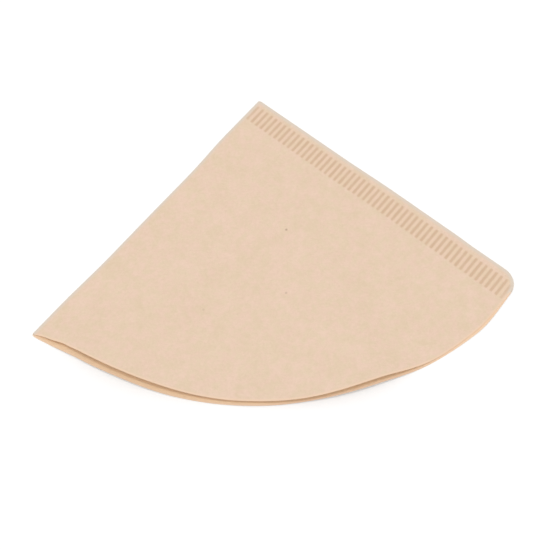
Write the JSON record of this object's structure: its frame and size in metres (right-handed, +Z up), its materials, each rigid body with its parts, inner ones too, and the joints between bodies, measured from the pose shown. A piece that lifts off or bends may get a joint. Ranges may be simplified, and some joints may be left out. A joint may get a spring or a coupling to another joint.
{
  "type": "paper cone coffee filter",
  "caption": "Unbleached paper cone coffee filter folded flat: a quarter circle with a folded side, a crimped side and an open, gently wavy mouth.",
  "frame": {"origin": "under the middle of the folded filter's bounding box, on the plane that it lies on", "axes": "+Z up through the two plies, +Y towards the tip, -Y towards the open mouth, +X towards the crimped seam's outer end, -X towards the fold's outer end"},
  "size_m": [0.1618, 0.1162, 0.0039],
  "materials": {
    "filter_paper": "unbleached, matt, lightly fibrous"
  },
  "bodies": {
    "root": {"coffee_filter": "filter_paper"}
  },
  "joints": []
}
